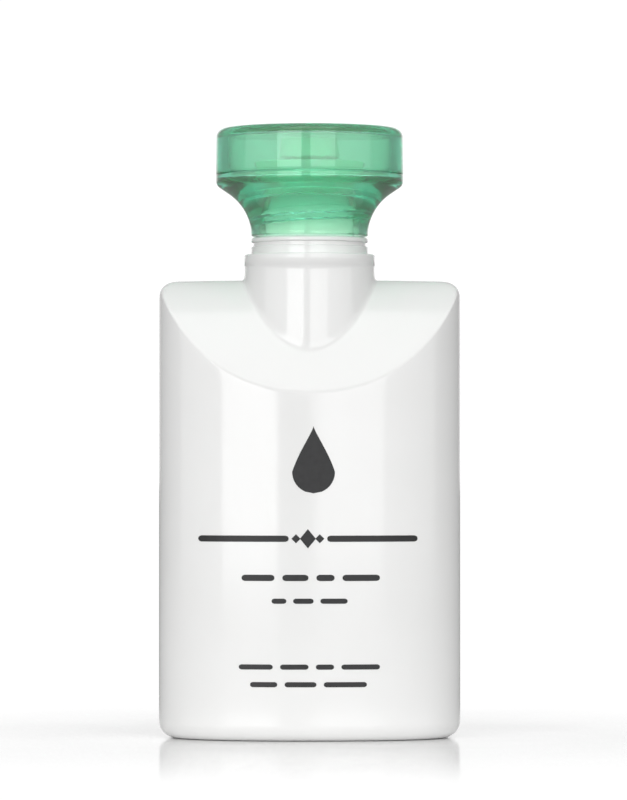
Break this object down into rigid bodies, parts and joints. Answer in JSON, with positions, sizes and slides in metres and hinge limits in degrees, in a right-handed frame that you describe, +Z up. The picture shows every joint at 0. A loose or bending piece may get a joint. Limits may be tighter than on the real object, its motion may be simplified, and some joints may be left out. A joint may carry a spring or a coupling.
{
  "type": "aftershave bottle",
  "caption": "Travel-size oval bottle with a vaulted shoulder and a round collar, under a flared screw-on flip-top closure.",
  "frame": {"origin": "centre of the bounding box's foot, on the bottle's axis at the level it stands on", "axes": "+Z up along the bottle's height, +X to the right across its width, -Y out of the front face"},
  "size_m": [0.054, 0.0336, 0.1092],
  "materials": {
    "bottle_white": "white polyethylene, satin gloss",
    "closure_green": "thick tinted translucent green, glossy",
    "insert_green": "tinted translucent green, satin",
    "liner_foam": "white closed-cell foam, matte"
  },
  "bodies": {
    "bottle": {"bottle_shell": "bottle_white"},
    "liner": {"neck_liner": "liner_foam"},
    "closure": {"closure_skirt": "closure_green", "closure_insert": "insert_green", "hinge_film": "closure_green"},
    "lid": {"lid_shell": "closure_green", "lid_plug": "insert_green"}
  },
  "joints": [
    {"name": "closure_rise", "type": "slide", "parent": "bottle", "child": "liner", "axis": [0, 0, 1], "range_m": [0, 0.00477]},
    {"name": "closure_turn", "type": "hinge", "parent": "liner", "child": "closure", "pos_m": [0, 0, 0.095], "axis": [0, 0, 1], "range_deg": [0, 540]},
    {"name": "lid_flip", "type": "hinge", "parent": "closure", "child": "lid", "pos_m": [0, 0.0162, 0.1008], "axis": [-1, 0, 0], "range_deg": [0, 135]}
  ],
  "couplings": [
    {"joint": "closure_rise", "follows": "closure_turn", "m_per_rad": 0.00050532}
  ]
}
